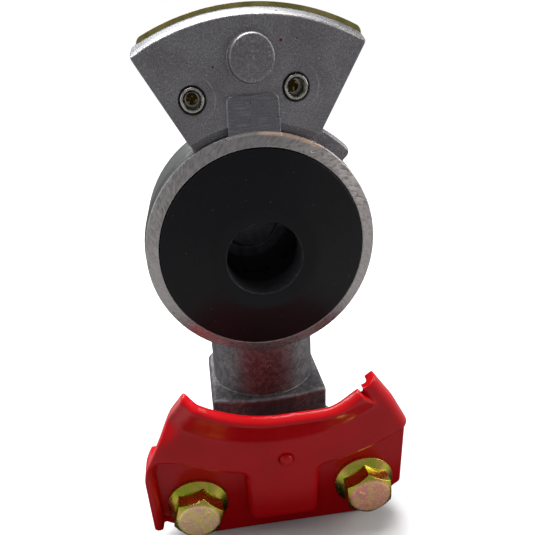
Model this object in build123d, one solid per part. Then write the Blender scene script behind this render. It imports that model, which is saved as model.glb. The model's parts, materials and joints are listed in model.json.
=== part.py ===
"""Palm coupling head for a truck air brake line, with a self-closing sleeve valve.

Every shape is first drawn on the coupling axis: x to the right, y into the body and z up, with
the origin where the axis meets the gasket's outer edge.  The export then moves all of them so
that the origin is the centre of the hose port's mouth.  Sizes are in millimetres.
"""
import os
from math import cos, radians, sin

from build123d import *

# Cup, the round housing of the valve
rim_radius = 30.1
rim_drop = 1.7
cup_radius = 30.6
cup_depth = 46.0
gasket_bore = 26.5
gasket_bore_depth = 12.7

# Hose port and the square block that carries it
port_setback = 19.0
port_drop = 74.0
port_radius = 10.19
port_thread_length = 15.0
neck_radius = 15.9
block_top = -47.3
block_half_width = 17.8
block_front = 1.0
block_back = 34.0

# Sector flange that slides under the other head's guide plate
sector_angle = 28.8
sector_front = 1.9
sector_thickness = 4.1
sector_radius = 54.4
sector_draft = 1.6
disc_height_on_axis = 45.75
disc_radius = 5.2
wear_plate_radius = 56.9
wear_plate_inner_radius = 31.8
wear_plate_thickness = 3.6
wear_plate_turn = 0.9
rivet_places = {"rivet_left": (-13.9, 38.0), "rivet_right": (10.2, 39.1)}
rivet_radius = 2.5

# Guide plate, a pressed sheet bolted to the foot
sheet = 2.6
guide_face = -16.4
pocket_face = -12.0
guide_left = 38.7
guide_right = 37.4
lip_radius = 38.7
lip_base_radius = 48.5
lip_rise = 5.6
lip_end_angle = 33.0
lip_thickness = 3.2
band_radius = 61.4
band_centre = 1.75
corner_bend = 2.8
side_bend = 3.0
step_bend = 1.9
tongue_half_width = 10.4
tongue_bottom = -79.0
plate_bottom = -85.8
corner_drop = -76.3
pin_x = 1.2
pin_z = -55.9
ear_back = -11.4
wall_back = -7.0
bolt_x = 25.3
bolt_z = -71.8
bolt_turn = {"guide_bolt_left": -17.0, "guide_bolt_right": 3.7}

# Self-closing valve
gasket_hole = 9.7
gasket_crown = 4.2
crown_radius = 13.4
sleeve_radius = 15.5
sleeve_bore = 12.4
cap_bore = 13.0
sleeve_front = 4.0
sleeve_back = 37.5
running_gap = 0.05
bush_front = 14.8
bush_back = 20.2
bush_radius = 22.0
chamber_radius = 21.5
chamber_back = 34.0
cap_front = 31.5
cap_back = 35.0
window_front = 17.4
window_back = 20.8
collar_radius = 19.0
collar_front = 21.8
collar_back = 23.4
ring_section = 0.8
spring_wire = 0.65
spring_radius = 17.4
spring_turns = 3.75

to_port = Pos(0, -port_setback, port_drop)


# ---------------------------------------------------------------- helpers
def turned(*points):
    """Solid turned about the coupling axis from (radius, depth) corners."""
    return revolve(make_face(Polyline(*points, close=True)), Axis.Y)


def ring(inner, outer, front, back):
    """Flat ring about the coupling axis."""
    return turned((inner, front), (outer, front), (outer, back), (inner, back))


def o_ring(mean_radius, depth):
    """Round-section ring about the coupling axis."""
    return Pos(0, depth, 0) * Rot(90, 0, 0) * Torus(mean_radius, ring_section)


def bar(radius, front, back, x=0.0, z=0.0):
    """Round bar along the depth, from front to back."""
    return Pos(x, (front + back) / 2, z) * Rot(90, 0, 0) * Cylinder(radius, back - front)


def cone(front_radius, back_radius, front, back, x=0.0, z=0.0):
    """Tapered round bar along the depth, from front to back."""
    place = Pos(x, (front + back) / 2, z) * Rot(90, 0, 0)
    return place * Cone(back_radius, front_radius, back - front)


def slab(low, high):
    """Box between two opposite corners."""
    size = [b - a for a, b in zip(low, high)]
    middle = [(a + b) / 2 for a, b in zip(low, high)]
    return Pos(*middle) * Box(*size)


def prism(outline, front, back):
    """Outline in the x-z plane, carried from the front depth to the back depth."""
    return extrude(Plane.XZ.offset(-front) * outline, amount=front - back)


def polygon(*points):
    """Flat face with straight sides, drawn in the x-z plane's own two coordinates."""
    return make_face(Polyline(*points, close=True))


def fan_outline(half_angle, reach, corner):
    """Flat sector about +z out to the reach, with its two outer corners rounded."""
    side = 80 * sin(radians(half_angle))
    top = 80 * cos(radians(half_angle))
    fan = polygon((-0.3, 0), (-side - 0.3, top), (side + 0.3, top), (0.3, 0)) & Circle(reach)
    outer_corners = [v for v in fan.vertices() if v.Y > 10]
    return fillet(outer_corners, corner)


def edges_at_depth(shape, depth, slack=0.02):
    """Edges that lie wholly at one depth."""
    return ShapeList([e for e in shape.edges() if abs(e.bounding_box().min.Y - depth) < slack
                      and abs(e.bounding_box().max.Y - depth) < slack])


# ---------------------------------------------------------------- casting
def cup():
    """Round housing with its coned rim and closed, rounded back."""
    profile = make_face([
        Polyline((0, 46), (0, 0), (gasket_bore, 0), (rim_radius, rim_drop), (rim_radius, 4.2),
                 (cup_radius, 6.0), (cup_radius, 22.0)),
        ThreePointArc((cup_radius, 22.0), (28.6, 30.6), (24.2, 36.4)),
        Polyline((24.2, 36.4), (20.6, 38.4), (20.0, 43.6)),
        ThreePointArc((20.0, 43.6), (19.2, 45.3), (17.4, cup_depth)),
        Line((17.4, cup_depth), (0, cup_depth)),
    ])
    return revolve(profile, Axis.Y)


def sector_flange():
    """Fan-shaped flange with its locating disc and pad."""
    back = sector_front + sector_thickness
    fan = turned((28.6, sector_front), (sector_radius, sector_front),
                 (sector_radius + sector_draft, back), (28.6, back))
    fan = fillet(edges_at_depth(fan, sector_front).sort_by(SortBy.LENGTH)[-1:], 0.5)
    fan &= prism(fan_outline(sector_angle, sector_radius + sector_draft, 2.4), sector_front - 1, back + 1)
    fan -= ring(rim_radius, rim_radius + 2.0, sector_front - 1, sector_front + 2.4)
    disc_front = sector_front - 3.4
    disc = cone(disc_radius - 0.15, disc_radius + 0.15, disc_front, sector_front + 1,
                0, disc_height_on_axis)
    disc = fillet(edges_at_depth(disc, disc_front), 0.5)
    pad_outline = make_face(Polyline((-6.4, 28), (-6.1, 38.2), (5.9, 38.2), (6.2, 28), close=True))
    pad_outline = fillet(pad_outline.vertices().sort_by(Axis.Y)[2:], 1.5)
    pad = prism(pad_outline, sector_front - 0.9, sector_front + 2)
    pad -= bar(rim_radius - 0.6, sector_front - 2, sector_front + 3)
    return fan + disc + pad


def stop_lug():
    """Cast stop on the cup's shoulder, beside the flange."""
    profile = polygon((28.5, 4.4), (33.0, 4.4), (33.7, 5.2), (33.7, 13.0), (31.5, 16), (28.5, 16))
    lug = revolve(profile, Axis.Y, 17.5)
    corners = [e for e in lug.edges().filter_by(Axis.Y) if (e @ 0.5).X ** 2 + (e @ 0.5).Z ** 2 > 33.6 ** 2]
    lug = fillet(corners, 2.0)
    return Rot(0, 29.1 - 90, 0) * lug


def neck_and_block():
    """Tapered neck, square port block and the web down to the foot."""
    middle = (block_top - 18) / 2
    neck = Pos(0, port_setback, middle) * Cone(neck_radius + 0.2, neck_radius, -18 - block_top)
    front = ThreePointArc((-block_half_width, block_front + 2.4), (0, block_front),
                          (block_half_width, block_front + 2.4))
    sides = Polyline((block_half_width, block_front + 2.4), (block_half_width, block_back),
                     (-block_half_width, block_back), (-block_half_width, block_front + 2.4))
    outline = make_face([front, sides])
    block = extrude(Pos(0, 0, -port_drop) * outline, amount=port_drop + block_top)
    rounded = block.edges().filter_by(Axis.Z).sort_by(Axis.Y)
    block = fillet(rounded[2:], 5.0)
    block = fillet(block.edges().filter_by(Axis.Z).sort_by(Axis.Y)[:2], 1.2)
    block = fillet(block.faces().sort_by(Axis.Z)[-1].edges(), 1.3)
    return neck + block


def foot_outline():
    """Foot behind the guide plate, hollowed round the other head's flange."""
    half = guide_right - sheet - 0.7
    low = plate_bottom + 1.0
    corner = corner_drop + 2.5
    plan = polygon((-24, -40), (24, -40), (half, -60), (half, corner), (half - 11, low), (-half + 11, low),
                   (-half, corner), (-half, -60))
    return plan - band_disc(sheet)


def foot():
    """Wide foot that carries the guide plate, with its bolt bosses and gussets."""
    front = pocket_face + sheet
    plate = prism(foot_outline(), front, -1.0)
    web = slab((-13.5, front + 1, -84), (13.5, block_front + 3.0, -60))
    shape = plate + web
    for side in (-1, 1):
        shape += bar(8.0, front, 6.0, side * bolt_x, bolt_z)
        gusset = polygon((side * 15.5, -2.0), (side * 30.0, -2.0), (side * 15.5, 20.0))
        shape += extrude(Pos(0, 0, -66) * gusset, amount=4.0)
    return shape


def valve_cavity():
    """Everything that is bored out of the cup."""
    cavity = bar(gasket_bore, -1.0, gasket_bore_depth)
    cavity += bar(bush_radius, gasket_bore_depth - 1, bush_back)
    cavity += bar(23.2, 13.7, bush_front - 0.02)
    cavity += bar(chamber_radius, bush_back - 1, chamber_back)
    cavity += bar(sleeve_radius + running_gap, chamber_back - 1, 43.0)
    cavity += ring(sleeve_radius - 1, 17.2, 35.0, 36.8)
    cavity += cone(gasket_bore + 0.5, gasket_bore, -0.01, 0.5)
    return cavity


def port_cavity():
    """Threaded mouth of the port and the cored passage up to the valve chamber."""
    bottom = -port_drop
    mouth = Pos(0, port_setback, bottom + port_thread_length / 2)
    mouth *= Cylinder(port_radius, port_thread_length)
    passage_top = -17.0
    passage = slab((-8.0, 20.6, bottom + port_thread_length - 1), (8.0, 32.4, passage_top))
    passage = fillet(passage.edges().filter_by(Axis.Z), 4.0)
    return mouth + passage


def body_casting():
    """Whole aluminium casting with its machined holes."""
    shape = cup() + neck_and_block() + foot() + sector_flange() + stop_lug()
    shape -= valve_cavity()
    shape -= port_cavity()
    shape -= bar(1.0, 42.0, cup_depth + 1)
    for side in (-1, 1):
        shape -= bar(4.0, pocket_face, 5.0, side * bolt_x, bolt_z)
    for x, z in rivet_places.values():
        shape -= bar(rivet_radius + 0.05, 0, 8, x, z)
        shape -= cone(3.35, 2.55, sector_front - 0.01, sector_front + 0.9, x, z)
    return shape


# ---------------------------------------------------------------- flange fittings
def wear_plate():
    """Steel plate on the back of the flange."""
    front = sector_front + sector_thickness
    back = front + wear_plate_thickness
    plate = turned((wear_plate_inner_radius, front), (wear_plate_radius, front),
                   (wear_plate_radius, back), (wear_plate_inner_radius, back))
    outline = Rot(0, 0, -wear_plate_turn) * fan_outline(sector_angle - 1.4, wear_plate_radius, 2.0)
    plate &= prism(outline, front - 1, back + 1)
    plate = chamfer(edges_at_depth(plate, back), 0.6)
    for x, z in rivet_places.values():
        plate -= bar(rivet_radius + 0.05, front - 1, back + 1, x, z)
    return plate


def tubular_rivet(x, z):
    """Semi-tubular rivet: domed head at the back, rolled end at the front."""
    back = sector_front + sector_thickness + wear_plate_thickness
    shank = bar(rivet_radius, sector_front + 0.2, back, x, z)
    rolled = cone(2.95, 2.5, sector_front - 0.35, sector_front + 0.55, x, z)
    rolled = fillet(edges_at_depth(rolled, sector_front - 0.35), 0.3)
    head = bar(4.3, back, back + 1.5, x, z)
    head = fillet(edges_at_depth(head, back + 1.5), 1.1)
    hollow = bar(1.75, sector_front - 1, sector_front + 4.5, x, z)
    hollow += cone(2.25, 1.75, sector_front - 0.36, sector_front + 0.4, x, z)
    return shank + rolled + head - hollow


# ---------------------------------------------------------------- guide plate
def at_corner(sketch, x, y):
    """The sketch's corner nearest to a place."""
    return min(sketch.vertices(), key=lambda v: (v.X - x) ** 2 + (v.Y - y) ** 2)


def wedge_below(start, end):
    """Flat sector about -z between two angles, positive to the right."""
    reach = 120
    return polygon((0, 0), (reach * sin(radians(start)), -reach * cos(radians(start))),
                   (0, -reach), (reach * sin(radians(end)), -reach * cos(radians(end))))


def band_disc(inset):
    """Disc inside the lower edge of the flat band, that far in from it."""
    return Pos(band_centre, 0) * Circle(band_radius - inset)


def guide_plan():
    """Plan of the pressed plate, inside which everything is trimmed."""
    left, right = -guide_left, guide_right
    plan = polygon((-24.6, -28.5), (left, -55.5), (left, corner_drop), (-34.5, -79.2),
                   (-22.0, plate_bottom), (26.5, plate_bottom), (35.2, -76.8), (right, -75.0),
                   (right, -50.2), (32.4, -40.8), (26.5, -32.4), (23.2, -34.9), (22.4, -34.5),
                   (14.6, -23.5))
    for x, z, bend in ((left, -55.5, 14.0), (right, -50.2, 9.0), (32.4, -40.8, 16.0)):
        plan = fillet(at_corner(plan, x, z), bend)
    return plan


def raised_plan(plan):
    """Part of the plan that stands at the front: the band, the tongue and the left edge."""
    left = -guide_left
    tongue = polygon((-tongue_half_width, -50), (tongue_half_width + 0.6, -50),
                     (tongue_half_width, tongue_bottom), (-tongue_half_width, tongue_bottom))
    for side in (-1, 1):
        tongue = fillet(at_corner(tongue, side * tongue_half_width, tongue_bottom), 2.5)
    edge = polygon((left - 1, -46), (-28.0, -46), (-28.0, -53.6), (left + sheet, -51.6),
                   (left + sheet, -90), (left - 1, -90))
    raised = (plan & band_disc(0)) + tongue + (edge & plan)
    return offset(offset(raised, corner_bend), -corner_bend) & plan


def lip_section():
    """Section of the flared lip and the first of the flat band behind it."""
    run = lip_base_radius - lip_radius
    length = (run ** 2 + lip_rise ** 2) ** 0.5
    across = (lip_thickness * lip_rise / length, lip_thickness * run / length)
    back_tip = (lip_radius - across[0], guide_face - lip_rise + across[1])
    inner_face = guide_face + sheet
    inner_base = back_tip[0] + (inner_face - back_tip[1]) * run / lip_rise
    outer = lip_base_radius + 4.0
    section = polygon((lip_radius, guide_face - lip_rise), (lip_base_radius, guide_face),
                      (outer, guide_face), (outer, inner_face), (inner_base, inner_face), back_tip)
    for x, y, bend in ((lip_base_radius, guide_face, 7.0), (inner_base, inner_face, 9.0),
                       (lip_radius, guide_face - lip_rise, 1.3), (*back_tip, 0.7)):
        section = fillet(at_corner(section, x, y), bend)
    return section


def lip(plan):
    """Flared lip, turned about the coupling axis below it."""
    band = Rot(0, 90 - 47, 0) * revolve(lip_section(), Axis.Y, 94)
    zone = plan & wedge_below(-44.0, lip_end_angle + 0.5)
    return band & prism(zone, guide_face - 9, guide_face + sheet + 1)


def raised_shell(plan):
    """Band, tongue and left edge, hollow behind, with rounded front edges."""
    inner_face = guide_face + sheet
    floor_back = pocket_face + sheet
    raised = raised_plan(plan)
    under_lip = Circle(lip_base_radius + 0.5) & wedge_below(-60, lip_end_angle)
    shell = prism(raised - under_lip, guide_face, floor_back)
    side = [e for e in edges_at_depth(shell, guide_face) if (e @ 0.5).X > 28 and (e @ 0.5).Z > -50]
    shell = fillet(side, side_bend)
    step = [e for e in edges_at_depth(shell, guide_face) if -33 < (e @ 0.5).X < 33 and (e @ 0.5).Z < -54]
    shell = fillet(step, step_bend)
    left_end = polygon((-45, -30), (-28, -30), (-28, -50.5), (-45, -50.5))
    hollow = offset(raised, -sheet) + band_disc(sheet) + left_end
    return shell - prism(hollow, inner_face, floor_back + 1)


def side_walls(plan):
    """Walls turned back along both sides of the plate, shorter beside the lip."""
    rim = plan - offset(plan, -sheet)
    left = rim & polygon((-60, -53), (-34, -53), (-34, corner_drop), (-60, corner_drop))
    right = rim & polygon((60, -25), (26, -25), (24.3, -34.0), (30.0, -42.8), (33.5, -52), (33.5, -75),
                          (60, -75))
    front = guide_face + sheet - 0.1
    slope = extrude(Plane.YZ * polygon((front, -52), (wall_back + 1, -52), (wall_back + 1, -65)), amount=-60)
    walls = prism(left, front, wall_back) - slope + prism(right, pocket_face, wall_back)
    walls += prism(right & band_disc(1), front, wall_back)
    return walls - slab((20, ear_back, -48), (50, wall_back + 1, -20))


def guide_plate():
    """Pressed guide plate with its lip, pockets, tongue and side walls."""
    plan = guide_plan()
    floor_back = pocket_face + sheet
    inner_face = guide_face + sheet
    low = plan & polygon((-60, -51), (0, -51), (0, -45), (60, -45), (60, -90), (-60, -90))
    floor_plan = low - offset(raised_plan(plan), -sheet)
    plate = prism(floor_plan, pocket_face, floor_back)
    plate += raised_shell(plan)
    plate += side_walls(plan)
    plate += lip(plan)
    for side in (-1, 1):
        plate -= bar(4.5, guide_face - 1, floor_back + 1, side * bolt_x, bolt_z)
    plate -= bar(2.0, guide_face - 1, inner_face + 1, pin_x, pin_z)
    return plate


def detent_pin():
    """Small domed pin pressed through the middle of the guide plate."""
    head = bar(1.9, guide_face - 1.1, guide_face, pin_x, pin_z)
    head = fillet(edges_at_depth(head, guide_face - 1.1), 1.0)
    shank = bar(1.95, guide_face - 0.01, guide_face + sheet + 1.2, pin_x, pin_z)
    return head + fillet(edges_at_depth(shank, guide_face + sheet + 1.2), 0.8)


def flange_bolt(x, turn):
    """M8 flange bolt, 13 mm across flats, with three plain bars on its head."""
    seat = pocket_face
    washer = bar(8.95, seat - 1.1, seat, x, bolt_z)
    washer += cone(6.9, 8.9, seat - 2.6, seat - 1.1, x, bolt_z)
    hexagon = Pos(x, bolt_z) * Rot(0, 0, turn) * RegularPolygon(6.5, 6, major_radius=False, rotation=30)
    head = prism(hexagon, seat - 7.6, seat)
    head &= cone(5.4, 8.4, seat - 7.6, seat - 5.9, x, bolt_z) + bar(8.4, seat - 5.9, seat, x, bolt_z)
    shank = bar(3.95, seat - 1, 4.0, x, bolt_z)
    bolt = washer + head + chamfer(edges_at_depth(shank, 4.0), 0.9)
    for k in range(3):
        mark = slab((2.3, seat - 7.85, -0.45), (4.6, seat - 7.0, 0.45))
        bolt += Pos(x, 0, bolt_z) * Rot(0, turn + 90 + 120 * k, 0) * mark
    return bolt


# ---------------------------------------------------------------- valve, fixed pieces
def seat_bush():
    """Fixed bush that guides the sleeve and gives the valve its seat."""
    bush = ring(sleeve_radius + running_gap, bush_radius - 0.02, bush_front, bush_back)
    bush -= ring(sleeve_radius - 1, 17.2, bush_front + 0.6, bush_front + 2.4)
    bush -= ring(20.35, bush_radius + 1, bush_front + 2.0, bush_front + 3.8)
    return chamfer(edges_at_depth(bush, bush_back).sort_by(SortBy.LENGTH)[-1:], 0.5)


def snap_ring(inner, outer, front, back, lug_side):
    """Open retaining ring with a gap and two eyes at its ends."""
    shape = ring(inner, outer, front, back)
    shape -= slab((-2.2, front - 1, 0), (2.2, back + 1, outer + 5))
    eye_radius = (outer - inner) / 2 + 0.55
    reach = inner + eye_radius - 0.9 if lug_side < 0 else outer - eye_radius + 0.9
    reach = reach + lug_side * 0.6
    for side in (-1, 1):
        place = (side * (2.2 + eye_radius * 0.8), reach - 0.2)
        shape += bar(eye_radius, front, back, *place)
        shape -= bar(0.6, front - 1, back + 1, *place)
    return shape


# ---------------------------------------------------------------- valve, moving pieces
def gasket():
    """Rubber face seal with a coned front."""
    shape = turned((gasket_hole, -gasket_crown), (crown_radius, -gasket_crown), (gasket_bore - 0.08, 0),
                   (gasket_bore - 0.08, 6.0), (18.15, 6.0), (18.15, sleeve_front - 0.05),
                   (gasket_hole, sleeve_front - 0.05))
    crown = edges_at_depth(shape, -gasket_crown).sort_by(SortBy.LENGTH)
    shape = fillet(crown[-1:], 8.0)
    return fillet(edges_at_depth(shape, -gasket_crown).sort_by(SortBy.LENGTH)[:1], 0.5)


def gasket_carrier():
    """Flat ring that backs the gasket."""
    plate = ring(sleeve_radius + running_gap, gasket_bore - 0.2, 6.0, 8.5)
    return chamfer(edges_at_depth(plate, 8.5).sort_by(SortBy.LENGTH)[-1:], 0.4)


def valve_sleeve():
    """Sliding sleeve with its windows, flange and spring collar."""
    outer = ring(0.5, sleeve_radius, sleeve_front, sleeve_back)
    outer += ring(sleeve_radius - 1, 18.0, sleeve_front, 6.0)
    outer += ring(sleeve_radius - 1, collar_radius, collar_front, collar_back)
    outer -= bar(sleeve_bore, sleeve_front - 1, cap_front)
    outer -= bar(cap_bore, cap_front, sleeve_back + 1)
    outer -= ring(14.7, sleeve_radius + 1, 8.55, 9.65)
    outer -= ring(cap_bore - 1, 13.9, cap_back + 0.02, cap_back + 1.1)
    window = slab((-4.0, window_front, 10), (4.0, window_back, 17))
    window = fillet(window.edges().filter_by(Axis.Z), 1.0)
    for k in range(6):
        outer -= Rot(0, 60 * k, 0) * window
    return outer


def end_cap():
    """Turned plug that closes the sleeve, with a shallow dish in its face."""
    cap = turned((0, cap_front), (cap_bore - 0.03, cap_front), (cap_bore - 0.03, cap_back), (0, cap_back))
    cap -= ring(11.35, cap_bore + 1, cap_front + 0.9, cap_front + 2.7)
    cap -= cone(9.5, 8.6, cap_front - 0.01, cap_front + 0.6)
    return cap


def return_spring():
    """Compression spring between the collar and the spring washer."""
    front = collar_back + spring_wire + 0.05
    back = chamber_back - 0.8 - spring_wire - 0.05
    pitch = (back - front) / spring_turns
    path = Helix(pitch, back - front, spring_radius)
    wire = Plane(origin=path @ 0, z_dir=path % 0) * Circle(spring_wire)
    coil = sweep(wire, path=path)
    return Pos(0, front, 0) * Rot(-90, 0, 0) * coil


def build_parts():
    """All nodes, drawn on the coupling axis."""
    nodes = {
        "body_casting": body_casting(),
        "wear_plate": wear_plate(),
        "guide_plate": guide_plate(),
        "detent_pin": detent_pin(),
        "seat_bush": seat_bush(),
        "bush_o_ring": o_ring(21.17, bush_front + 2.9),
        "bush_snap_ring": snap_ring(20.6, 23.1, 13.75, bush_front - 0.05, -1),
        "sleeve_o_ring": o_ring(16.34, bush_front + 1.5),
        "rear_o_ring": o_ring(16.34, 35.9),
        "spring_washer": ring(15.75, chamber_radius - 0.2, chamber_back - 0.8, chamber_back),
        "gasket": gasket(),
        "gasket_carrier": gasket_carrier(),
        "valve_sleeve": valve_sleeve(),
        "carrier_clip": ring(14.75, 17.4, 8.6, 9.6) - slab((-3, 8, 0), (3, 10, 20)),
        "seat_seal": ring(sleeve_radius + 0.02, 18.6, bush_back + 0.02, collar_front),
        "end_cap": end_cap(),
        "cap_o_ring": o_ring(12.17, cap_front + 1.8),
        "cap_snap_ring": (ring(11.6, 13.85, cap_back + 0.05, cap_back + 1.05)
                          - slab((-3, 34, 0), (3, 37, 20))),
        "return_spring": return_spring(),
    }
    for name, (x, z) in rivet_places.items():
        nodes[name] = tubular_rivet(x, z)
    for side, name in ((-1, "guide_bolt_left"), (1, "guide_bolt_right")):
        nodes[name] = flange_bolt(side * bolt_x, bolt_turn[name])
    return nodes


os.makedirs("parts", exist_ok=True)
for node_name, solid in build_parts().items():
    export_step(to_port * solid, f"parts/{node_name}.step")
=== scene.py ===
"""Looks of the palm coupling head: materials, return spring, pressed plate, floor, light and camera."""

import json
import math

import bpy
from mathutils import Matrix, Vector


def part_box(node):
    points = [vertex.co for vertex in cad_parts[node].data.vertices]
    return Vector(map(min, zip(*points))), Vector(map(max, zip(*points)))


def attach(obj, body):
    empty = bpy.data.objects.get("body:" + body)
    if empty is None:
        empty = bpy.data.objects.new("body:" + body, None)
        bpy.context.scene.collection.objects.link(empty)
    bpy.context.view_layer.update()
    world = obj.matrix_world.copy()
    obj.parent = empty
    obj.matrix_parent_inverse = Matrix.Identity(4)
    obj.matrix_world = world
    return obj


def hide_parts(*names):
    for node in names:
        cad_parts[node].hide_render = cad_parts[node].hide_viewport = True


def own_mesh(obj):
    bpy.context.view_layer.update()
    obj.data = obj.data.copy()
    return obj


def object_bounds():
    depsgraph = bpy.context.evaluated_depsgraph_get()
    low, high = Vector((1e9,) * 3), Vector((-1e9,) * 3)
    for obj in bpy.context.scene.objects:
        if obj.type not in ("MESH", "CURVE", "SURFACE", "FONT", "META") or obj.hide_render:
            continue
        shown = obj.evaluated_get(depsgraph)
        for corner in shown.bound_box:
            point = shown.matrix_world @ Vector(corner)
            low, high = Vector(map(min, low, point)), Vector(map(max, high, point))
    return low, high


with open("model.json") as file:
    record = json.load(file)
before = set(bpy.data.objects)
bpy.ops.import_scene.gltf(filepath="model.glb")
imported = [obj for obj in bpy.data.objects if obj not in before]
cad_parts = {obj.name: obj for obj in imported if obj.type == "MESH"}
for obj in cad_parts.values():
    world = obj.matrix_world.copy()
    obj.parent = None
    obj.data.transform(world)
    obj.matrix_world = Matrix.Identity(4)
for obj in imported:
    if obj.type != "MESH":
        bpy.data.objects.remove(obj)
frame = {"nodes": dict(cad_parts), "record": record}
cad_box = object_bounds()

MM = 0.001


def middle(node):
    """Centre of a CAD node's box."""
    low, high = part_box(node)
    return (low + high) / 2


# Places in metres, read from the frame
axis_at = middle("gasket")

# Places and radii in millimetres, which the materials are laid out by
axis_x, axis_z = axis_at.x / MM, axis_at.z / MM
air_passage = next(m for m in frame["record"]["mounts"] if m["name"] == "air_passage")
gasket_bore = air_passage["dims"]["r_mm"]
rim_front = air_passage["pos_m"][1] / MM
rim_radius = 30.1
sector_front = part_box("rivet_left")[0].y / MM + 0.35
flange_edge = 54.8
pad_top = axis_z + 38.4

# Small marks on the flange: place from the coupling axis, size and colour
flange_spots = {
    "paint_fleck": ((7.0, 48.9), 0.4, (0.25, 0.03, 0.03)),
    "bright_nib": ((2.0, 54.4), 0.35, (0.9, 0.9, 0.9)),
}


# ---------------------------------------------------------------- shader helpers
class Shader:
    """A material's node tree, with a short call for each kind of node that it uses."""

    def __init__(self, name):
        self.material = bpy.data.materials.new(name)
        self.material.use_nodes = True
        self.tree = self.material.node_tree
        self.tree.nodes.clear()
        self.surface = self.tree.nodes.new("ShaderNodeBsdfPrincipled")
        output = self.tree.nodes.new("ShaderNodeOutputMaterial")
        self.tree.links.new(self.surface.outputs[0], output.inputs[0])
        place = self.tree.nodes.new("ShaderNodeTexCoord").outputs["Object"]
        self.mm = self.vector("MULTIPLY", place, (1 / MM,) * 3)
        self.x, self.y, self.z = self.parts(self.mm)
        self.normal = None

    def feed(self, socket, value):
        """Links a socket's output, or sets a plain value."""
        if isinstance(value, bpy.types.NodeSocket):
            self.tree.links.new(value, socket)
        else:
            socket.default_value = value

    def set(self, **values):
        """Values or sockets for the surface's own inputs, with _ for a space."""
        for name, value in values.items():
            self.feed(self.surface.inputs[name.replace("_", " ")], value)

    def vector(self, operation, a, b):
        node = self.tree.nodes.new("ShaderNodeVectorMath")
        node.operation = operation
        self.feed(node.inputs[0], a)
        self.feed(node.inputs[1], b)
        scalar = operation in ("DOT_PRODUCT", "DISTANCE", "LENGTH")
        return node.outputs["Value" if scalar else "Vector"]

    def math(self, operation, a, b=0.0):
        node = self.tree.nodes.new("ShaderNodeMath")
        node.operation = operation
        self.feed(node.inputs[0], a)
        self.feed(node.inputs[1], b)
        return node.outputs[0]

    def parts(self, vector):
        node = self.tree.nodes.new("ShaderNodeSeparateXYZ")
        self.feed(node.inputs[0], vector)
        return node.outputs

    def join(self, x, y, z):
        node = self.tree.nodes.new("ShaderNodeCombineXYZ")
        for socket, value in zip(node.inputs, (x, y, z)):
            self.feed(socket, value)
        return node.outputs[0]

    def noise(self, size, detail=2.0, distortion=0.0, where=None):
        """Noise from 0 to 1, with features about that many millimetres across."""
        node = self.tree.nodes.new("ShaderNodeTexNoise")
        self.feed(node.inputs["Vector"], self.mm if where is None else where)
        node.inputs["Scale"].default_value = 1 / size
        node.inputs["Detail"].default_value = detail
        node.inputs["Distortion"].default_value = distortion
        return node.outputs["Fac"]

    def cells(self, size):
        """Distance to scattered points about that many millimetres apart, in cells."""
        node = self.tree.nodes.new("ShaderNodeTexVoronoi")
        self.feed(node.inputs["Vector"], self.mm)
        node.inputs["Scale"].default_value = 1 / size
        return node.outputs["Distance"]

    def step(self, value, start, end, low=0.0, high=1.0):
        """Low before start, high after end, smooth between them."""
        node = self.tree.nodes.new("ShaderNodeMapRange")
        node.interpolation_type = "SMOOTHSTEP"
        for socket, given in zip(node.inputs, (value, start, end, low, high)):
            self.feed(socket, given)
        return node.outputs[0]

    def fall(self, value, start, end):
        """1 before start, 0 after end, smooth between them."""
        return self.step(value, start, end, 1.0, 0.0)

    def scaled(self, value, factor):
        return self.math("MULTIPLY", value, factor)

    def all_of(self, *masks):
        """Product of masks and shares."""
        made = masks[0]
        for mask in masks[1:]:
            made = self.math("MULTIPLY", made, mask)
        return made

    def colour(self, share, a, b):
        """Colour a at share 0, b at share 1."""
        node = self.tree.nodes.new("ShaderNodeMix")
        node.data_type = "RGBA"
        self.feed(node.inputs[0], share)
        for socket, value in zip((node.inputs[6], node.inputs[7]), (a, b)):
            self.feed(socket, (*value, 1.0) if isinstance(value, tuple) else value)
        return node.outputs[2]

    def tinted(self, base, tint, *masks):
        """Base colour, with the tint over it as far as all the masks allow."""
        return self.colour(self.all_of(*masks), base, tint)

    def between(self, share, a, b):
        """Number a at share 0, b at share 1."""
        node = self.tree.nodes.new("ShaderNodeMix")
        self.feed(node.inputs[0], share)
        self.feed(node.inputs[2], a)
        self.feed(node.inputs[3], b)
        return node.outputs[0]

    def soft_edges(self, radius):
        """Rounds the shading over sharp edges, and returns how near an edge a point is."""
        node = self.tree.nodes.new("ShaderNodeBevel")
        node.samples = 6
        node.inputs["Radius"].default_value = radius * MM
        self.normal = node.outputs[0]
        plain = self.tree.nodes.new("ShaderNodeNewGeometry").outputs["Normal"]
        return self.math("SUBTRACT", 1.0, self.vector("DOT_PRODUCT", self.normal, plain))

    def bump(self, height, depth):
        """Relief of that many millimetres where the height is 1."""
        node = self.tree.nodes.new("ShaderNodeBump")
        node.inputs["Distance"].default_value = depth * MM
        self.feed(node.inputs["Height"], height)
        if self.normal is not None:
            self.feed(node.inputs["Normal"], self.normal)
        self.normal = node.outputs[0]

    def done(self):
        """The material, with its relief fed in."""
        if self.normal is not None:
            self.feed(self.surface.inputs["Normal"], self.normal)
        return self.material

    def from_axis(self):
        """Distance from the coupling axis in millimetres, and the angle about it."""
        across = self.math("SUBTRACT", self.x, axis_x)
        up = self.math("SUBTRACT", self.z, axis_z)
        radius = self.vector("LENGTH", self.join(across, 0.0, up), (0, 0, 0))
        return radius, self.math("ARCTAN2", up, across)

    def from_point(self, x, z):
        """Distance in the x-z plane from a place, in millimetres."""
        return self.vector("DISTANCE", self.join(self.x, 0.0, self.z), (x, 0.0, z))


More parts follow.
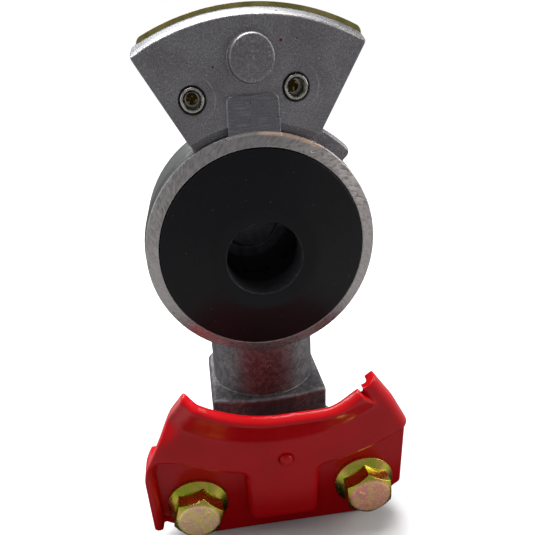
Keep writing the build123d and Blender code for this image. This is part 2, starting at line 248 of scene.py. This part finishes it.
# ---------------------------------------------------------------- materials
def cast_skin(s, grain):
    """Colour of the blasted casting: cloudy grey, with dark grains and bright flecks."""
    cloud = s.noise(9.0, detail=4.0, distortion=0.6)
    base = s.colour(s.step(cloud, 0.3, 0.7), (0.29, 0.275, 0.285), (0.37, 0.36, 0.365))
    dark_grain = s.colour(0.5, base, (0.10, 0.095, 0.10))
    base = s.colour(s.step(grain, 0.38, 0.66), dark_grain, base)
    flecks = s.step(s.noise(0.45, detail=2.0), 0.62, 0.74)
    return s.tinted(base, (0.75, 0.74, 0.73), flecks, 0.5)


def painted_shade_skin(s, base, radius, angle):
    """Painted shade: darker skin on the left of the cup, on the top face of the flange's edge, and in
    blotches below the cup.
    """
    # Painted shade over the left side of the cup.
    shaded_cup_side = s.all_of(s.step(s.y, rim_front + 2.6, rim_front + 4.0), s.step(radius, 27.0, 28.0),
                           s.step(s.math("ABSOLUTE", angle), 2.0, 2.2))
    base = s.tinted(base, (0.10, 0.11, 0.105), shaded_cup_side, 0.75)
    # Painted shade over the top face of the flange's edge, which the light from above makes bright.
    shaded_flange_top = s.all_of(s.step(radius, flange_edge - 0.4, flange_edge + 0.4),
                       s.step(s.y, sector_front + 1.2, sector_front + 2.0))
    base = s.tinted(base, (0.13, 0.14, 0.145), shaded_flange_top, 0.65)
    # Painted shade in blotches below the cup, over the neck and block.
    shade_blotches = s.step(s.noise(1.6, detail=4.0, distortion=0.4), 0.42, 0.6)
    shaded_below_cup = s.fall(s.z, axis_z - 28, axis_z - 26)
    return s.tinted(base, (0.085, 0.085, 0.09), shaded_below_cup, shade_blotches, 0.5)


def brushed_pad(s, base, radius):
    """Darker, brushed face on the raised pad above the rim."""
    pad = s.all_of(s.fall(s.y, sector_front - 0.55, sector_front - 0.45),
                   s.step(radius, rim_radius + 0.1, rim_radius + 0.3),
                   s.fall(s.z, pad_top, pad_top + 0.2))
    base = s.tinted(base, (0.13, 0.135, 0.15), pad, 0.55)
    brushed = s.noise(0.25, detail=3.0, where=s.join(s.scaled(s.x, 0.05), 0.0, s.z))
    return s.tinted(base, (0.42, 0.42, 0.44), pad, s.step(brushed, 0.48, 0.7), 0.4)


def turned_rim(s, radius, angle):
    """Mask of the cup's turned rim, its slanted chatter, and its colour with a painted copper highlight
    arc on its upper right.
    """
    rim = s.all_of(s.fall(radius, rim_radius - 0.05, rim_radius + 0.05),
                   s.fall(s.y, rim_front + 2.2, rim_front + 2.3))
    slant = s.math("ADD", s.scaled(angle, 14.0), s.scaled(radius, 0.5))
    sweep = s.join(slant, s.scaled(radius, 0.35), 0.0)
    chatter = s.noise(0.42, detail=4.0, distortion=0.9, where=sweep)
    metal = s.colour(s.step(chatter, 0.3, 0.7), (0.41, 0.375, 0.365), (0.53, 0.50, 0.48))
    # Painted highlight: a copper arc on the upper right of the rim, where the light catches its top edge.
    painted_highlight = s.all_of(s.step(radius, 28.9, 29.6), s.step(angle, 0.95, 1.08), s.fall(angle, 1.50, 1.58))
    return rim, chatter, s.tinted(metal, (0.98, 0.70, 0.52), painted_highlight, 0.9)


def rivet_marks(s, base, flange_front):
    """Stain round each rivet, and part of the arc that its riveting tool left."""
    tool_radius = 5.3
    uneven = s.noise(1.2, detail=3.0)
    for name in ("rivet_left", "rivet_right"):
        place = middle(name) / MM
        away = s.from_point(place.x, place.z)
        stained = s.fall(s.math("ADD", away, s.scaled(uneven, 1.6)), 3.6, 4.6)
        base = s.tinted(base, (0.12, 0.085, 0.05), stained, flange_front, 0.4)
        from_arc = s.math("ABSOLUTE", s.math("SUBTRACT", away, tool_radius))
        arc = s.all_of(s.fall(from_arc, 0.06, 0.2), s.step(s.x, place.x + 2.0, place.x + 4.5),
                       s.step(uneven, 0.3, 0.55))
        base = s.tinted(base, (0.5, 0.5, 0.49), arc, flange_front, 0.55)
    return base


def cast_aluminium():
    """Blasted die casting with a turned rim, a brushed pad, stains by the rivets and worn edges."""
    s = Shader("cast_aluminium")
    near_edge = s.soft_edges(0.45)
    radius, angle = s.from_axis()
    grain = s.noise(0.35, detail=4.0)
    flange_front = s.fall(s.y, sector_front + 1.0, sector_front + 1.2)
    base = cast_skin(s, grain)
    # Painted shade on the cup's left, on the flange's top edge and below the cup.
    base = painted_shade_skin(s, base, radius, angle)
    base = brushed_pad(s, base, radius)
    rim, chatter, rim_metal = turned_rim(s, radius, angle)
    # The rim's colour carries the painted copper highlight arc.
    base = s.colour(rim, base, rim_metal)
    base = rivet_marks(s, base, flange_front)
    pits = s.fall(s.cells(4.4), 0.035, 0.075)
    base = s.tinted(base, (0.03, 0.027, 0.027), pits, s.math("SUBTRACT", 1.0, rim), 0.6)
    for (across, up), size, tint in flange_spots.values():
        away = s.from_point(axis_x + across, axis_z + up)
        base = s.tinted(base, tint, s.fall(away, size * 0.7, size), flange_front)
    worn = s.all_of(s.step(near_edge, 0.02, 0.14), s.step(s.noise(2.5), 0.25, 0.6),
                    s.step(s.z, axis_z - 30, axis_z - 27))
    base = s.tinted(base, (0.62, 0.62, 0.62), worn, 0.4)

    rough = s.between(rim, s.step(grain, 0.2, 0.8, 0.40, 0.56), s.step(chatter, 0.3, 0.7, 0.24, 0.42))
    s.set(Base_Color=base, Metallic=1.0, Roughness=rough)
    skin = s.math("MULTIPLY", grain, s.between(rim, 1.0, 0.15))
    s.bump(s.math("SUBTRACT", skin, s.scaled(pits, 2.0)), 0.10)
    s.bump(s.math("MULTIPLY", chatter, rim), 0.035)
    return s.done()


def red_paint():
    """Gloss powder coat, with orange peel, dust nibs and a few chips at the edges."""
    s = Shader("red_paint")
    near_edge = s.soft_edges(0.7)
    peel = s.noise(1.7, detail=1.0)
    cloud = s.noise(14.0, detail=2.0)
    base = s.colour(s.step(cloud, 0.3, 0.7), (0.50, 0.002, 0.005), (0.57, 0.003, 0.007))
    nibs = s.fall(s.cells(4.2), 0.035, 0.07)
    chips = s.all_of(s.step(s.noise(0.8, detail=3.0), 0.66, 0.70), s.step(near_edge, 0.03, 0.12))
    base = s.tinted(base, (0.10, 0.004, 0.006), chips, 0.8)
    base = s.tinted(base, (0.25, 0.0, 0.002), nibs, 0.25)
    s.set(Base_Color=base, Roughness=s.step(cloud, 0.3, 0.7, 0.30, 0.36), Specular_IOR_Level=0.1)
    s.set(Coat_Weight=0.5, Coat_IOR=1.36, Coat_Roughness=0.05)
    s.bump(s.math("ADD", peel, s.scaled(nibs, 0.8)), 0.012)
    s.set(Coat_Normal=s.normal)
    return s.done()


def zinc_finish(s, base, fine, metallic=1.0):
    """Shared end of the zinc materials: faint dark specks, and the gloss of passivated zinc."""
    base = s.colour(s.step(fine, 0.3, 0.7, 0.08, 0.0), base, (0.12, 0.10, 0.05))
    s.set(Base_Color=base, Metallic=metallic, Roughness=s.step(fine, 0.3, 0.7, 0.20, 0.28))
    s.bump(fine, 0.0015)
    return s.done()


def zinc_chromate():
    """Yellow passivated zinc, olive and gold."""
    s = Shader("zinc_plated_steel")
    s.soft_edges(0.2)
    broad = s.noise(3.6, detail=1.5, distortion=1.0)
    base = s.colour(s.step(broad, 0.35, 0.65), (0.34, 0.32, 0.09), (0.52, 0.42, 0.15))
    return zinc_finish(s, base, s.noise(0.7, detail=1.5))


def bolt_zinc(name, face_tints):
    """Green and gold zinc on a bolt, with patches of two warm tints on its front face."""
    s = Shader(name + "_zinc")
    s.soft_edges(0.2)
    broad = s.noise(3.6, detail=1.5, distortion=1.0)
    base = s.colour(s.step(broad, 0.40, 0.60), (0.55, 0.62, 0.05), (0.78, 0.58, 0.12))
    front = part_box(name)[0].y / MM
    face = s.fall(s.math("ADD", s.y, s.scaled(broad, 0.4)), front + 0.6, front + 1.0)
    patches = s.step(s.noise(1.8, detail=2.0, distortion=0.8), 0.42, 0.62)
    base = s.colour(face, base, s.colour(patches, *face_tints))
    return zinc_finish(s, base, s.noise(0.7, detail=1.5), s.math("SUBTRACT", 1.0, s.scaled(face, 0.65)))


def rivet_zinc(name):
    """Rivet with a bright rolled rim, and a hole that is near-black with yellow chromate in patches."""
    s = Shader(name + "_zinc")
    s.soft_edges(0.2)
    place = middle(name) / MM
    mottle = s.noise(0.9, detail=3.0)
    rim_metal = s.colour(s.step(mottle, 0.3, 0.7), (0.38, 0.37, 0.33), (0.58, 0.57, 0.52))
    # The hole is near-black, with yellow chromate in patches.
    inside = s.colour(s.step(mottle, 0.52, 0.68), (0.03, 0.022, 0.01), (0.55, 0.38, 0.08))
    base = s.colour(s.step(s.from_point(place.x, place.z), 1.25, 1.6), inside, rim_metal)
    s.set(Base_Color=base, Metallic=1.0, Roughness=s.step(mottle, 0.3, 0.7, 0.22, 0.38))
    s.bump(mottle, 0.02)
    return s.done()


def rubber():
    """Moulded nitrile rubber with a faint sheen, light scuffs and dust, and a painted sheen of lighter
    grey in patches on the bore wall.
    """
    s = Shader("rubber")
    s.soft_edges(0.3)
    radius, angle = s.from_axis()
    skin = s.noise(0.25, detail=3.0)
    sweep = s.join(s.scaled(angle, 3.0), s.scaled(radius, 0.8), 0.0)
    scuffs = s.step(s.noise(0.6, detail=4.0, distortion=0.4, where=sweep), 0.55, 0.8)
    dust = s.fall(s.cells(2.6), 0.03, 0.05)
    base = s.tinted((0.0065, 0.0065, 0.0078), (0.02, 0.02, 0.022), scuffs, 0.35)
    base = s.tinted(base, (0.25, 0.24, 0.23), dust, 0.5)
    # Painted sheen: the bore wall is lighter grey in patches.
    bore_sheen = s.fall(radius, gasket_bore + 0.1, gasket_bore + 0.25)
    base = s.tinted(base, (0.09, 0.09, 0.10), bore_sheen, s.step(skin, 0.42, 0.6))
    s.set(Base_Color=base, Roughness=s.step(skin, 0.3, 0.7, 0.33, 0.46), Specular_IOR_Level=0.2)
    s.bump(s.math("ADD", skin, s.scaled(scuffs, 0.4)), 0.02)
    return s.done()


def turned_metal(name, dark, light, rough):
    """Metal turned on a lathe: fine rings about the coupling axis."""
    s = Shader(name)
    s.soft_edges(0.2)
    radius, angle = s.from_axis()
    rings = s.noise(0.09, detail=3.0, where=s.join(radius, s.scaled(angle, 0.02), 0.0))
    scuffed = s.noise(2.0, detail=3.0)
    base = s.colour(s.step(s.math("ADD", rings, s.scaled(scuffed, 0.4)), 0.5, 0.95), dark, light)
    s.set(Base_Color=base, Metallic=1.0, Roughness=s.step(scuffed, 0.3, 0.7, rough, rough + 0.12))
    s.bump(rings, 0.03)
    return s.done()


def black_nylon():
    """Glass-filled nylon with a dull moulded skin."""
    s = Shader("black_nylon")
    s.soft_edges(0.25)
    skin = s.noise(0.3, detail=4.0)
    flow = s.noise(4.0, detail=2.0, distortion=1.5)
    base = s.colour(s.step(flow, 0.3, 0.7), (0.012, 0.012, 0.013), (0.022, 0.022, 0.024))
    s.set(Base_Color=base, Roughness=s.step(skin, 0.3, 0.7, 0.42, 0.58))
    s.bump(skin, 0.03)
    return s.done()


def spring_steel():
    """Oiled spring steel, dark with drawn streaks."""
    s = Shader("spring_steel")
    s.soft_edges(0.15)
    fine = s.noise(0.4, detail=4.0)
    oil = s.noise(3.0, detail=2.0)
    base = s.colour(s.step(oil, 0.35, 0.7), (0.16, 0.16, 0.17), (0.34, 0.33, 0.32))
    s.set(Base_Color=base, Metallic=1.0, Roughness=s.step(fine, 0.3, 0.7, 0.22, 0.38))
    s.bump(fine, 0.015)
    return s.done()


def floor_paint():
    """Pale, dull studio floor with a trace of texture, with painted shade in the light it bounces back:
    near-black round the part, dim grey further off.
    """
    s = Shader("floor")
    pale = s.colour(s.noise(60.0, detail=3.0), (0.66, 0.66, 0.665), (0.68, 0.68, 0.68))
    seen = s.tree.nodes.new("ShaderNodeLightPath").outputs["Is Camera Ray"]
    beside = s.step(s.math("ABSOLUTE", s.x), 55.0, 90.0)
    before = s.fall(s.y, -54.0, -44.0)
    behind = s.step(s.y, 60.0, 110.0)
    away = s.math("MAXIMUM", s.math("MAXIMUM", beside, before), behind)
    # Painted shade: bounced light from the floor is near-black round the part.
    bounced = s.colour(away, (0.015, 0.015, 0.015), (0.20, 0.20, 0.205))
    s.set(Base_Color=s.colour(seen, bounced, pale), Roughness=0.75, Specular_IOR_Level=0.1)
    s.bump(s.noise(0.8, detail=3.0), 0.02)
    return s.done()


def dress(obj, material):
    """Gives an object that material alone."""
    obj.data.materials.clear()
    obj.data.materials.append(material)


def dress_frame():
    """Materials on the CAD nodes, by the record's material slots, with the bolts' and rivets' own."""
    by_slot = {
        "cast_aluminium": cast_aluminium(),
        "red_paint": red_paint(),
        "zinc_plated_steel": zinc_chromate(),
        "rubber": rubber(),
        "turned_aluminium": turned_metal("turned_aluminium", (0.16, 0.15, 0.17), (0.36, 0.34, 0.37), 0.28),
        "brass": turned_metal("brass", (0.36, 0.25, 0.09), (0.60, 0.44, 0.17), 0.25),
        "black_nylon": black_nylon(),
        "spring_steel": spring_steel(),
    }
    for row in frame["record"]["subparts"]:
        dress(frame["nodes"][row["node"]], by_slot[row["material_slot"]])
    bolt_tints = {
        "guide_bolt_left": ((1.0, 0.76, 0.28), (1.0, 0.60, 0.42)),
        "guide_bolt_right": ((1.0, 0.58, 0.26), (1.0, 0.40, 0.34)),
    }
    for name, tints in bolt_tints.items():
        dress(frame["nodes"][name], bolt_zinc(name, tints))
    for name in ("rivet_left", "rivet_right"):
        dress(frame["nodes"][name], rivet_zinc(name))
    return by_slot


# ---------------------------------------------------------------- return spring
def spring_line(front, back, radius, wire):
    """Points along a compression spring's wire, with one closed turn at each end."""
    live_turns, closed_turns, per_turn = 3, 1, 96
    closed_rise = 2 * wire * 1.02
    live_rise = back - front - 2 * closed_rise
    points = []
    for k in range((live_turns + 2 * closed_turns) * per_turn + 1):
        turn = k / per_turn
        start = min(turn, closed_turns) / closed_turns
        live = min(max(turn - closed_turns, 0), live_turns) / live_turns
        end = max(turn - closed_turns - live_turns, 0) / closed_turns
        y = front + closed_rise * (start + end) + live_rise * live
        angle = 2 * math.pi * turn
        points.append((axis_at.x + radius * math.cos(angle), y, axis_at.z + radius * math.sin(angle)))
    return points


def return_spring(material):
    """Round-wire return spring, which the valve squeezes as it slides in, made at rest in place of the CAD
    one.
    """
    low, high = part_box("return_spring")
    wire = 0.65 * MM
    points = spring_line(low.y + wire, high.y - wire, (high.x - low.x) / 2 - wire, wire)
    curve = bpy.data.curves.new("spring_line", "CURVE")
    curve.dimensions = "3D"
    spline = curve.splines.new("POLY")
    spline.points.add(len(points) - 1)
    for point, place in zip(spline.points, points):
        point.co = (*place, 1.0)
    curve.bevel_depth = wire
    curve.bevel_resolution = 3
    curve.use_fill_caps = True
    mesh = bpy.data.meshes.new_from_object(bpy.data.objects.new("spring_line", curve))
    for polygon in mesh.polygons:
        polygon.use_smooth = True
    spring = bpy.data.objects.new("return_spring_wire", mesh)
    bpy.context.scene.collection.objects.link(spring)
    dress(spring, material)
    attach(spring, "head")
    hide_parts("return_spring")
    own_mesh(spring)


# ---------------------------------------------------------------- guide plate
lip_rise = 5.6
lip_end = 33.0  # degrees from straight down, to the right


def ease(value, start, end):
    """Smooth step from 0 at start to 1 at end."""
    share = min(max((value - start) / (end - start), 0.0), 1.0)
    return share * share * (3 - 2 * share)


def soft_copy(node):
    """Mesh of a CAD node, remeshed in small cells and smoothed, so that its edges are rounded."""
    draft = bpy.data.objects.new("draft", frame["nodes"][node].data.copy())
    bpy.context.scene.collection.objects.link(draft)
    cells = draft.modifiers.new("cells", "REMESH")
    cells.mode = "VOXEL"
    cells.voxel_size = 0.36 * MM
    cells.use_smooth_shade = True
    rounding = draft.modifiers.new("rounding", "SMOOTH")
    rounding.factor = 0.6
    rounding.iterations = 7
    mesh = bpy.data.meshes.new_from_object(draft.evaluated_get(bpy.context.evaluated_depsgraph_get()))
    bpy.data.objects.remove(draft)
    return mesh


def pressing(x, z, in_front):
    """Shift that pressing gives a point of the plain plate, in millimetres.

    The lip gets lower and opens towards its right end, and the plate's left edge is turned back.
    x and z are taken from the coupling axis, and in_front from the plate's face."""
    radius = math.hypot(x, z)
    angle = math.degrees(math.atan2(x, -z))
    on_lip = ease(angle, lip_end + 3.0, lip_end + 1.5)
    on_lip *= max(ease(in_front, 0.2, 2.2), ease(angle, lip_end, lip_end - 3.0))
    lowered = 0.55 * lip_rise * ease(radius, 50.5, 36.5) * ease(angle, 17.0, lip_end) * on_lip
    opened = ease(radius, 50.5, 40.0) * ease(angle, 2.0, lip_end) * on_lip
    from_left_edge = (Vector((x, z)) - Vector((-24.6, -28.5))).dot(Vector((0.886, -0.463)))
    turned_back = 2.4 * ease(from_left_edge, 4.6, 0.0) * ease(z, -47.0, -38.0)
    return Vector((opened, lowered + turned_back, -3.0 * opened))


def pressed_plate(material):
    """Guide plate as it comes from the press, in place of the plain CAD one."""
    mesh = soft_copy("guide_plate")
    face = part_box("guide_plate")[0].y / MM + lip_rise
    for vertex in mesh.vertices:
        place = (vertex.co - axis_at) / MM
        vertex.co += pressing(place.x, place.z, face - vertex.co.y / MM) * MM
    mesh.name = "guide_plate_pressed"
    plate = bpy.data.objects.new("guide_plate_pressed", mesh)
    bpy.context.scene.collection.objects.link(plate)
    dress(plate, material)
    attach(plate, "head")
    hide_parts("guide_plate")


# ---------------------------------------------------------------- stage
def floor():
    """Pale floor just under the part."""
    half = 3.0
    height = cad_box[0].z - 0.1 * MM
    corners = [(-half, -half, height), (half, -half, height), (half, half, height), (-half, half, height)]
    mesh = bpy.data.meshes.new("floor")
    mesh.from_pydata(corners, [], [(0, 1, 2, 3)])
    plane = bpy.data.objects.new("floor", mesh)
    bpy.context.scene.collection.objects.link(plane)
    dress(plane, floor_paint())


def softbox(name, place, target, size, power, tint=(1.0, 1.0, 1.0)):
    """Rectangular soft light, aimed at a point."""
    light = bpy.data.lights.new(name, "AREA")
    light.shape = "RECTANGLE"
    light.size, light.size_y = size
    light.energy = power
    light.color = tint
    lamp = bpy.data.objects.new(name, light)
    lamp.location = place
    lamp.rotation_euler = (Vector(target) - Vector(place)).to_track_quat("-Z", "Y").to_euler()
    bpy.context.scene.collection.objects.link(lamp)


def surroundings():
    """Dim grey room for light and reflections, and a white one behind the part."""
    world = bpy.data.worlds.new("room")
    bpy.context.scene.world = world
    world.use_nodes = True
    tree = world.node_tree
    tree.nodes.clear()
    output = tree.nodes.new("ShaderNodeOutputWorld")
    mix = tree.nodes.new("ShaderNodeMixShader")
    ray = tree.nodes.new("ShaderNodeLightPath")
    tree.links.new(ray.outputs["Is Camera Ray"], mix.inputs[0])
    dim_grey, white = (0.93, 0.95, 1.0, 1), (1, 1, 1, 1)
    for socket, colour, strength in ((mix.inputs[1], dim_grey, 0.28), (mix.inputs[2], white, 1.0)):
        background = tree.nodes.new("ShaderNodeBackground")
        background.inputs["Color"].default_value = colour
        background.inputs["Strength"].default_value = strength
        tree.links.new(background.outputs[0], socket)
    tree.links.new(mix.outputs[0], output.inputs[0])


def lights():
    """Broad light from above, a soft box overhead and a softer one on each side."""
    sky = bpy.data.lights.new("sky", "SUN")
    sky.energy = 4.3
    sky.angle = 0.7
    lamp = bpy.data.objects.new("sky", sky)
    lamp.rotation_euler = Vector((0.10, -0.30, -1.0)).to_track_quat("-Z", "Y").to_euler()
    bpy.context.scene.collection.objects.link(lamp)
    target = tuple(axis_at)
    softbox("overhead", (-0.05, 0.22, 0.75), target, (0.7, 0.5), 6.5)
    softbox("left_side", (-0.65, -0.10, 0.30), target, (0.35, 0.5), 0.9)
    softbox("right_side", (0.65, -0.05, 0.35), target, (0.35, 0.5), 2.4, (1.0, 0.96, 0.92))


def camera():
    """Looks down at the gasket from in front, a little to the left, at arm's length."""
    place = Vector((-15.4, -145.6, 122.9)) * MM
    ahead = Vector((0.0789, 0.8841, -0.4605)).normalized()
    up = Vector((0.1137, 0.4510, 0.8853))
    right = ahead.cross(up).normalized()
    up = right.cross(ahead)
    data = bpy.data.cameras.new("camera")
    data.lens = 35.1
    data.sensor_width = 36.0
    data.shift_x, data.shift_y = 0.0298, 0.0858
    data.clip_start, data.clip_end = 0.005, 20.0
    made = bpy.data.objects.new("camera", data)
    turn = Matrix((right, up, -ahead)).transposed().to_4x4()
    made.matrix_world = Matrix.Translation(place) @ turn
    bpy.context.scene.collection.objects.link(made)
    bpy.context.scene.camera = made


finishes = dress_frame()
return_spring(finishes["spring_steel"])
pressed_plate(finishes["red_paint"])
floor()
surroundings()
lights()
camera()
bpy.context.scene.view_settings.view_transform = "Standard"
